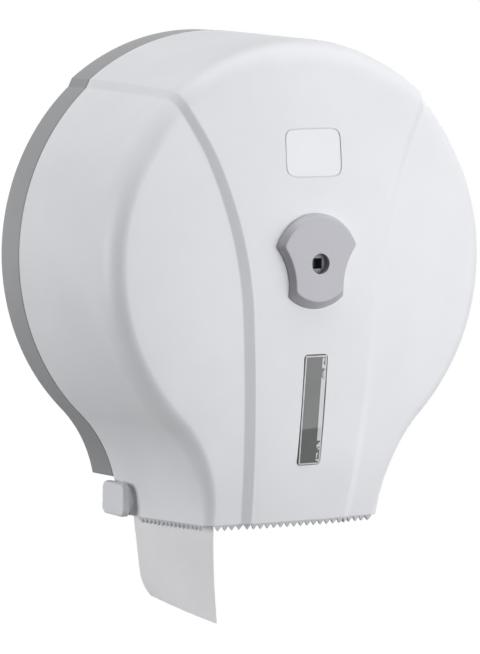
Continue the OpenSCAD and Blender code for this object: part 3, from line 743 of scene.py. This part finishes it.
# Window lens: a shallow box with a flange behind the cover and snap clips near its ends.
lens = dict(
    darker="#646567", lighter="#6E706E", litWallHighlight="#DCDCE0", width=13.4, height=56.3, corner=1.8, lean=0.378,
    face=1.5, proud=-0.15, deep=3.5, side=1.3, flangeX=2.9, flangeZ=1.9, flangeThick=1.3,
    flangeCorner=2.0, innerCorner=1.0, soften=0.45,
    clip=(1.1, 11.0, 2.2), clipIn=0.35, clipDown=2.55, slot=(0.8, 4.95, 3.0), slotIn=0.45, slotDown=3.4,
    wallShown=2.9, paleFrom=0.42, paleTo=1.1, fade=0.15, clear=0.14,     # the painted highlight lines of the lit walls in the material
)
# Moulded acrylic with a grey tint: see-through and glossy with faint moulding waves. Pale lines along its walls
# and edges are painted highlight that stands in for the lit walls seen through it, with painted glints at the clips.
smokedAcrylic, tree, place = newMaterial("smoked clear acrylic")
waves = addNode(tree, "TexNoise", {"Vector": place, "Scale": noiseScale(18), "Detail": 1.0})
relief = addNode(tree, "Bump", {"Strength": 0.01, "Distance": 0.01 * mm, "Height": waves})
middle, half = (cover["windowX"] * mm, 0, cover["windowZ"] * mm), (lens["width"] / 2 * mm, 0, lens["height"] / 2 * mm)
fromMiddle = addNode(tree, "VectorMath", {0: place, 1: middle}, operation="SUBTRACT")
eitherWay = addNode(tree, "VectorMath", {0: fromMiddle}, operation="ABSOLUTE")
toCorner = addNode(tree, "VectorMath", {0: half, 1: eitherWay}, operation="SUBTRACT")
fromLine = addNode(tree, "SeparateXYZ", {0: fromMiddle}).outputs[0]
upAndDown = addNode(tree, "SeparateXYZ", {0: eitherWay}).outputs[2]
toSide, _, toEnd = addNode(tree, "SeparateXYZ", {0: toCorner}).outputs
toEdge = addNode(tree, "Math", {0: toSide, 1: toEnd}, operation="MINIMUM")
# painted highlight along the walls: a pale line between the dark outer corner and the darker face
pastCorner = addNode(tree, "MapRange", {
    0: toEdge, 1: lens["paleFrom"] * mm, 2: (lens["paleFrom"] + lens["fade"]) * mm})
beforeFace = addNode(tree, "MapRange", {
    0: toEdge, 1: lens["paleTo"] * mm, 2: (lens["paleTo"] + lens["fade"]) * mm, 3: 1.0, 4: 0.0})
rimHighlight = addNode(tree, "Math", {0: pastCorner, 1: beforeFace}, operation="MULTIPLY")
# painted highlight where the lit inner side of the right wall shows, broken into painted glints along the clips
shownX, clipZ = lens["width"] / 2 - lens["wallShown"], lens["height"] / 2 - lens["side"] - lens["clip"][1]
onRight = addNode(tree, "MapRange", {0: fromLine, 1: (shownX - 0.1) * mm, 2: shownX * mm})
innerWallHighlight = addNode(tree, "Math", {0: onRight, 1: pastCorner}, operation="MULTIPLY")
clips = addNode(tree, "MapRange", {0: upAndDown, 1: (clipZ - 0.2) * mm, 2: clipZ * mm})
glints = addNode(tree, "TexNoise", {"Vector": place, "Scale": noiseScale(1.6), "Detail": 1.0})
glintShare = addNode(tree, "MapRange", {0: glints, 1: 0.44, 2: 0.54})
broken = addNode(tree, "Math", {0: clips, 1: glintShare}, operation="MULTIPLY")
whole = addNode(tree, "Math", {0: innerWallHighlight, 1: broken}, operation="SUBTRACT")
paintedLight = addNode(tree, "Math", {0: rimHighlight, 1: whole}, operation="MAXIMUM")
tint = addNode(tree, "Mix", {0: waves, 6: lens["darker"], 7: lens["lighter"]}, data_type="RGBA")
# the pale colour is painted highlight on the lit walls and edges
colour = addNode(tree, "Mix", {0: paintedLight, 6: tint.outputs[2], 7: lens["litWallHighlight"]}, data_type="RGBA")
shader = addNode(tree, "BsdfPrincipled", {
    "Base Color": colour.outputs[2], "Roughness": 0.01, "IOR": 1.49, "Specular IOR Level": 0.4,
    "Transmission Weight": lens["clear"], "Normal": relief})
addNode(tree, "OutputMaterial", {"Surface": shader})


def lensBody():
    width, height, side, deep = lens["width"], lens["height"], lens["side"], lens["deep"]
    bm = raiseFace(roundedFace(width, height, lens["corner"]), lens["proud"], deep)
    softenEdges(bm, lens["soften"], 3, only=lambda e: all(v.co.z > -mm for v in e.verts))
    flange = roundedFace(width + 2 * lens["flangeX"], height + 2 * lens["flangeZ"], lens["flangeCorner"])
    bm = carve(bm, raiseFace(flange, 0.05 - deep, deep - 0.05 + lens["flangeThick"]), "UNION")
    hollow = roundedFace(width - 2 * side, height - 2 * side, lens["innerCorner"])
    bm = carve(bm, raiseFace(hollow, -lens["face"], 8))
    for sx in (-1, 1):
        for end in (-1, 1):
            x, z = width / 2 - side, end * (height / 2 - side - lens["clip"][1] / 2)
            clip = block(lens["clip"], (sx * (x - lens["clipIn"]), z, -lens["clipDown"]))
            slot = block(lens["slot"], (sx * (x - lens["slotIn"]), z, -lens["slotDown"]))
            bm = carve(carve(bm, clip, "UNION"), slot)
    return put(bm, windowFrame @ Matrix.Rotation(radians(-lens["lean"]), 4, "X"))


finishPiece("levelLens", lensBody(), smokedAcrylic, "cover", "window_lens", sharp=14)

# Badge, left bare.
badge = dict(darker="#E4E5E9", lighter="#EAEBEF", roughness=0.3, play=0.45, sunk=0.35, under=0.05, soften=0.5)
# Moulded ABS with a glossier skin than the cover's.
badgeAbs = mouldedPlastic("gloss white ABS badge", badge)
badgeSize = (cover[side] - 2 * badge["play"] for side in ("badgeWidth", "badgeHeight"))
badgeFace = outlineFace(squirclePoints(*badgeSize))
badgeBody = softenEdges(raiseFace(badgeFace, -badge["sunk"], cover["badgeDeep"] - badge["under"]), badge["soften"], 3)
put(badgeBody, frontFrame(cover["badgeZ"]))
finishPiece("bareBadge", badgeBody, badgeAbs, "cover", "badge_plate")

# Moulded mid grey ABS, satin, on the shield round the keyhole.
shieldAbs = mouldedPlastic("moulded mid grey ABS", shield)


def shieldBody():
    outer, inner = shieldPoints(), shieldPoints(shield["bevels"], 5)
    bm = raiseFace(outlineFace(outer), shield["wall"])
    top = max(bm.faces, key=lambda f: f.calc_center_median().z)
    bmesh.ops.inset_region(bm, faces=[top], thickness=0.02 * mm, depth=0, use_even_offset=True, use_boundary=True)
    # the inset face goes up and in to the inner outline, which makes the bevels
    for vert in top.verts:
        k = min(range(len(outer)), key=lambda k: dist((outer[k][0] * mm, outer[k][1] * mm), vert.co[:2]))
        vert.co = (inner[k][0] * mm, inner[k][1] * mm, (shield["front"] - shield["back"]) * mm)
    softenEdges(bm, shield["soften"], 3, 25, lambda e: all(v.co.z > 0.5 * mm for v in e.verts)
                and abs(e.verts[0].co.z - e.verts[1].co.z) < 1e-5)
    back = shield["back"]
    put(bm, wallFrame(back))
    cutters = [along(back - 1, shield["front"] + 1, shield["keyRadius"]),
               along(back - 1, back + shield["bodyDeep"], shield["bodyRadius"])]
    for side in (1, -1):
        cutters.append(along(back - 1, back + shield["screwDeep"], shield["screwRadius"], side * shield["screwX"],
                             shield["screwZ"], 24))
    return build(bm, [], cutters)


finishPiece("lockShield", shieldBody(), shieldAbs, "cover", "lock_escutcheon", sharp=22)

# Tissue: the roll, its core and the free end.
tissue = dict(
    darker="#F0F0F3", lighter="#F7F7F9", width=77.0, middle=59.4, rollRadius=44.3, soften=0.5,
    clear=0.6, thick=0.25, wrap=24.0, wrapShare=0.14,      # the free end leaves the roll after its wrap
    drop=43.8, frontDrop=2.8,                              # its lower end below the rim, and the front corner's
    backFrom=137, backLean=0.14, curl=4.5, curlFrom=166, curlSpan=13,
    frontBow=2.0, bowFrom=60, bowTo=140, frontLean=2.6, leanSpan=42, wave=0.5, waveTurn=320,
)
core = dict(darker="#8E7350", lighter="#BA9C74", radius=29.5, wall=2.0, longer=0.6, play=0.03, soften=0.25)
low, high = tissue["middle"] - tissue["width"] / 2, tissue["middle"] + tissue["width"] / 2


# Two-ply creped tissue: soft and matt with fine fibres and a crepe across its run.
def crepedTissue(name, rolled):
    material, tree, place = newMaterial(name)
    fibres = addNode(tree, "TexNoise", {"Vector": place, "Scale": noiseScale(1.1), "Detail": 4.0, "Roughness": 0.6})
    soft = addNode(tree, "TexNoise", {"Vector": place, "Scale": noiseScale(24), "Detail": 2.0})
    if rolled:
        # the layers are 0.1 mm thick, so that only soft rings, 6.3 mm apart, show on the roll's ends
        axis = addNode(tree, "Mapping", {"Vector": place, "Scale": (1, 0, 1)})
        pattern = addNode(tree, "TexWave", {"Vector": axis, "Scale": waveScale(6.2832), "Distortion": 1.2,
                                            "Detail": 2.0, "Detail Scale": 2.0},
                          wave_type="RINGS", rings_direction="SPHERICAL")
    else:
        # crepe lines are 0.4 mm apart and drawn at 0.9 mm to show, about 11 mm long
        lines = addNode(tree, "Mapping", {"Vector": place, "Scale": (0.4, 0.4, 5.0)})
        pattern = addNode(tree, "TexNoise", {"Vector": lines, "Scale": noiseScale(4.5), "Detail": 3.0})
    height = addNode(tree, "Math", {0: fibres, 1: pattern}, operation="ADD")
    closeMaterial(tree, tissue, soft, (fibres, 0.82, 0.98), (height, 0.5, 0.3),
                  {"Specular IOR Level": 0.25, "Sheen Weight": 0.15})
    return material


tissueHanging = crepedTissue("creped two-ply tissue", False)
tissueRolled = crepedTissue("rolled two-ply tissue", True)

# Spiral-wound greyboard: matt brown-grey with the slanted seam of its wound strip.
greyboard, tree, place = newMaterial("spiral-wound greyboard")
fibre = addNode(tree, "TexNoise", {"Vector": place, "Scale": noiseScale(1.5), "Detail": 5.0, "Roughness": 0.65})
slant = addNode(tree, "Mapping", {"Vector": place, "Rotation": (radians(18), 0, 0)})
seams = addNode(tree, "TexWave", {"Vector": slant, "Scale": waveScale(110)}, bands_direction="Y", wave_profile="SAW")
closeMaterial(tree, core, fibre, (fibre, 0.8, 0.95), (seams, 0.5, 0.2), {})


def ringBody(inner, outer, low, high, soften):
    # profile of a tube wall, spun round the spindle's axis
    bm = bmesh.new()
    corners = [bm.verts.new((r * mm, -d * mm, 0))
               for r, d in ((inner, low), (outer, low), (outer, high), (inner, high))]
    loop = [bm.edges.new((corners[k], corners[(k + 1) % 4])) for k in range(4)]
    bmesh.ops.spin(bm, geom=corners + loop, cent=(0, 0, 0), axis=(0, 1, 0), angle=2 * pi, steps=128,
                   use_merge=True)
    weld(bm)
    bmesh.ops.recalc_face_normals(bm, faces=bm.faces)
    return softenEdges(bm, soften)


def tailBody():
    # the free end: it leaves the roll on the left and hangs through the neck, its lower back corner curls in
    radius, tailZ = tissue["rollRadius"] + tissue["clear"], rimZ - tissue["drop"]
    bm = bmesh.new()
    bmesh.ops.create_grid(bm, x_segments=44, y_segments=120, size=1)
    for vert in bm.verts:
        # t runs down the sheet and v from its back to its front edge
        t, v = (1 - vert.co.y) / 2, (vert.co.x + 1) / 2
        if t < tissue["wrapShare"]:
            a, u = radians(tissue["wrap"]) * (1 - t / tissue["wrapShare"]), 0.0
        else:
            a, u = 0.0, (t - tissue["wrapShare"]) / (1 - tissue["wrapShare"])
        z = u * (tailZ - tissue["frontDrop"] * v)
        back = (tissue["backLean"] * max(0.0, -z - tissue["backFrom"])
                + tissue["curl"] * (max(0.0, -z - tissue["curlFrom"]) / tissue["curlSpan"]) ** 2 * (1 - v))
        front = (tissue["frontBow"] * ease(tissue["bowFrom"], tissue["bowTo"], -z)
                 + tissue["frontLean"] * (max(0.0, -z - tissue["bowTo"]) / tissue["leanSpan"]) ** 1.7)
        wave = tissue["wave"] * sin(pi * v) * u * sin(radians(tissue["waveTurn"]) * u)
        pull = back * (1 - v) + front * v + wave
        x, y = pull - radius * cos(a), -(low + v * tissue["width"])
        vert.co = (x * mm, y * mm, (radius * sin(a) + z) * mm)
    bmesh.ops.recalc_face_normals(bm, faces=bm.faces)
    bmesh.ops.solidify(bm, geom=bm.faces[:], thickness=tissue["thick"] * mm)
    return bm


rollBody = ringBody(core["radius"] + core["play"], tissue["rollRadius"], low, high, tissue["soften"])
finishPiece("tissueRoll", rollBody, tissueRolled, "roll", "paper_roll")
coreBody = ringBody(core["radius"] - core["wall"], core["radius"], low - core["longer"], high + core["longer"],
                    core["soften"])
finishPiece("cardboardCore", coreBody, greyboard, "roll", "core_tube")
tailPiece = finishPiece("tissueTail", tailBody(), tissueHanging, "base", "paper_tail", sharp=60)
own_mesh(tailPiece)

# Inside parts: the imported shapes, merged, with softened edges.
inside = dict(
    hub=dict(darker="#D6D8DA", lighter="#DEE0E2", roughness=0.42),
    spindle=dict(darker="#C4C6C9", lighter="#CDCFD2", roughness=0.4),
    zinc=dict(darker="#9A9EA3", lighter="#B4B7BB", roughness=0.55),
    barrel=dict(darker="#55565A", lighter="#616266", roughness=0.5),
    housing=dict(darker="#97999D", lighter="#AFB2B6", roughness=0.48),
)
hubPlastic = mouldedPlastic("moulded natural polypropylene", inside["hub"], 1.49)
spindleAbs = mouldedPlastic("moulded pale grey ABS", inside["spindle"])
zincSteel = platedMetal("zinc-plated steel", inside["zinc"])
barrelMetal = platedMetal("blackened die-cast zinc", inside["barrel"], 2.0)
housingMetal = platedMetal("satin nickel-plated zinc", inside["housing"])
for name, node, material, body, slotName, soften in (
        ("spindleAxle", "spindle", spindleAbs, "base", "pale_plastic", 0.3),
        ("spindleScrews", "spindle_screws", zincSteel, "base", "zinc_steel", 0.12),
        ("latchKeeper", "latch_keeper", zincSteel, "base", "zinc_steel", 0.3),
        ("keeperScrew", "keeper_screw", zincSteel, "base", "zinc_steel", 0.12),
        ("shieldScrews", "escutcheon_screws", zincSteel, "cover", "zinc_steel", 0.12),
        ("lockHousing", "lock_housing", housingMetal, "cover", "lock_metal", 0.2),
        ("lockNut", "lock_nut", zincSteel, "cover", "zinc_steel", 0.4),
        ("lockBarrel", "lock_barrel", barrelMetal, "lock", "dark_metal", 0.2),
        ("lockCam", "lock_cam", zincSteel, "lock", "zinc_steel", 0.25),
        ("camScrew", "cam_screw", zincSteel, "lock", "zinc_steel", 0.12),
        ("rollHub", "roll_hub", hubPlastic, "roll", "white_plastic", 0.25)):
    bm = bmesh.new()
    bm.from_mesh(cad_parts[node].data)
    weld(bm)
    bmesh.ops.dissolve_limit(bm, angle_limit=radians(0.6), verts=bm.verts, edges=bm.edges)
    finishPiece(name, softenEdges(bm, soften, angle=40), material, body, node, sharp=30)

# Stage, lights and camera, in metres.
studio = dict(
    floorZ=-0.3, floorRadius=0.85, fadeFrom=0.36, fadeTo=0.8, floorGlow=0.45,
    floorDarker="#F2F2F2", floorLighter="#F6F6F6", bounce="#B4B4B4", aim=(0, -0.05, 0),
    lamps={                                   # place, size, power in watts, turn in degrees
        "rightHigh": ((1.5, -1.0, 1.7), (1.4, 1.4), 4.2, 0),
        "rightLow": ((1.8, -1.5, -0.1), (1.4, 1.2), 17.5, 0),
        "frontRight": ((0.8, -2.2, -0.135), (1.4, 1.436), 17.9, 12),
        "frontLow": ((-0.2, -2.3, 0.15), (1.6, 0.7), 9.8, 0),
        "top": ((0.0, -0.4, 2.3), (1.6, 1.6), 36.4, 0),
        "sideLeft": ((-2.2, 0.9, 0.0), (1.2, 1.2), 33.5, 0),
        "behind": ((0.3, 2.6, -0.05), (1.6, 0.8), 24.0, 0),
    })
scene = bpy.context.scene
scene.view_settings.view_transform = "Standard"

# Matt painted board: pale and even; outwards it fades into the white behind, and it throws little light back up.
floorPaint, tree, place = newMaterial("matt white painted floor")
seen = addNode(tree, "LightPath", {}).outputs["Is Camera Ray"]
dust = addNode(tree, "TexNoise", {"Vector": place, "Scale": noiseScale(250)})
board = addNode(tree, "Mix", {0: dust, 6: studio["floorDarker"], 7: studio["floorLighter"]}, data_type="RGBA")
paint = addNode(tree, "Mix", {0: seen, 6: studio["bounce"], 7: board.outputs[2]}, data_type="RGBA")
base = addNode(tree, "BsdfDiffuse", {"Color": paint.outputs[2]})
strength = addNode(tree, "Math", {0: seen, 1: studio["floorGlow"]}, operation="MULTIPLY")
glow = addNode(tree, "Emission", {"Strength": strength})
lit = addNode(tree, "AddShader", {0: base, 1: glow})
reach = addNode(tree, "VectorMath", {0: place}, operation="LENGTH").outputs["Value"]
fade = addNode(tree, "MapRange", {0: reach, 1: studio["fadeFrom"], 2: studio["fadeTo"]},
               interpolation_type="SMOOTHSTEP")
# from below the floor isn't there, so that it hides nothing
underside = addNode(tree, "NewGeometry", {}).outputs["Backfacing"]
gone = addNode(tree, "Math", {0: fade, 1: underside}, operation="MAXIMUM")
nothing = addNode(tree, "BsdfTransparent", {})
addNode(tree, "OutputMaterial", {"Surface": addNode(tree, "MixShader", {0: gone, 1: lit, 2: nothing})})
ground = bmesh.new()
bmesh.ops.create_circle(ground, cap_ends=True, segments=96, radius=studio["floorRadius"])
bmesh.ops.translate(ground, vec=(0, 0, studio["floorZ"]), verts=ground.verts)
studioFloor = objectFrom("studioFloor", ground)
studioFloor.data.materials.append(floorPaint)

# The world is white to the camera and in gloss and glass, and gives no light of its own.
world = bpy.data.worlds.new("soft studio")
scene.world = world
world.use_nodes = True
tree = world.node_tree
tree.nodes.clear()
path = addNode(tree, "LightPath", {}).outputs
seen = addNode(tree, "Math", {0: path["Is Camera Ray"], 1: path["Is Glossy Ray"]}, operation="MAXIMUM")
seen = addNode(tree, "Math", {0: seen, 1: path["Is Transmission Ray"]}, operation="MAXIMUM")
sky = addNode(tree, "Background", {"Color": (1, 1, 1, 1), "Strength": seen})
addNode(tree, "OutputWorld", {"Surface": sky})

for name, (place, size, power, turn) in studio["lamps"].items():
    lamp = bpy.data.lights.new(name + "Softbox", "AREA")
    lamp.shape, lamp.size, lamp.size_y, lamp.energy = "RECTANGLE", size[0], size[1], power
    holder = linked(name + "Softbox", lamp)
    holder.location = place
    holder.rotation_mode = "QUATERNION"
    holder.rotation_quaternion = ((Vector(studio["aim"]) - Vector(place)).to_track_quat("-Z", "Y")
                                  @ Quaternion((0, 0, 1), radians(turn)))

# The photograph's view: 30.5 degrees to the left and 4 above, turned so that no shift is needed. Angles are radians;
# focal is in pixels, and middle is the pixel where the origin shows.
view = dict(turns=(0.533, 0.0732, 0.0113), distance=2.044, focal=3898.0, middle=(191.19, 246.32), picture=(480, 654))
azimuth, elevation, roll = view["turns"]
ahead = Vector((sin(azimuth) * cos(elevation), cos(azimuth) * cos(elevation),
                -sin(elevation)))
right = Vector((cos(azimuth), -sin(azimuth), 0))
up = right.cross(ahead)
right, up = right * cos(roll) + up * sin(roll), up * cos(roll) - right * sin(roll)
offX, offY = ((side / 2 - at) / view["focal"] for side, at in zip(view["picture"], view["middle"]))
aim = (ahead + right * offX - up * offY).normalized()
right = aim.cross(up).normalized()
up = right.cross(aim)
camera = bpy.data.cameras.new("photoCamera")
camera.lens = view["focal"] / view["picture"][1] * camera.sensor_width
holder = linked("photoCamera", camera)
turned = Matrix((right, up, -aim)).transposed().to_4x4()
holder.matrix_world = Matrix.Translation(-ahead * view["distance"]) @ turned
scene.camera = holder
print("stage, lights and camera set")
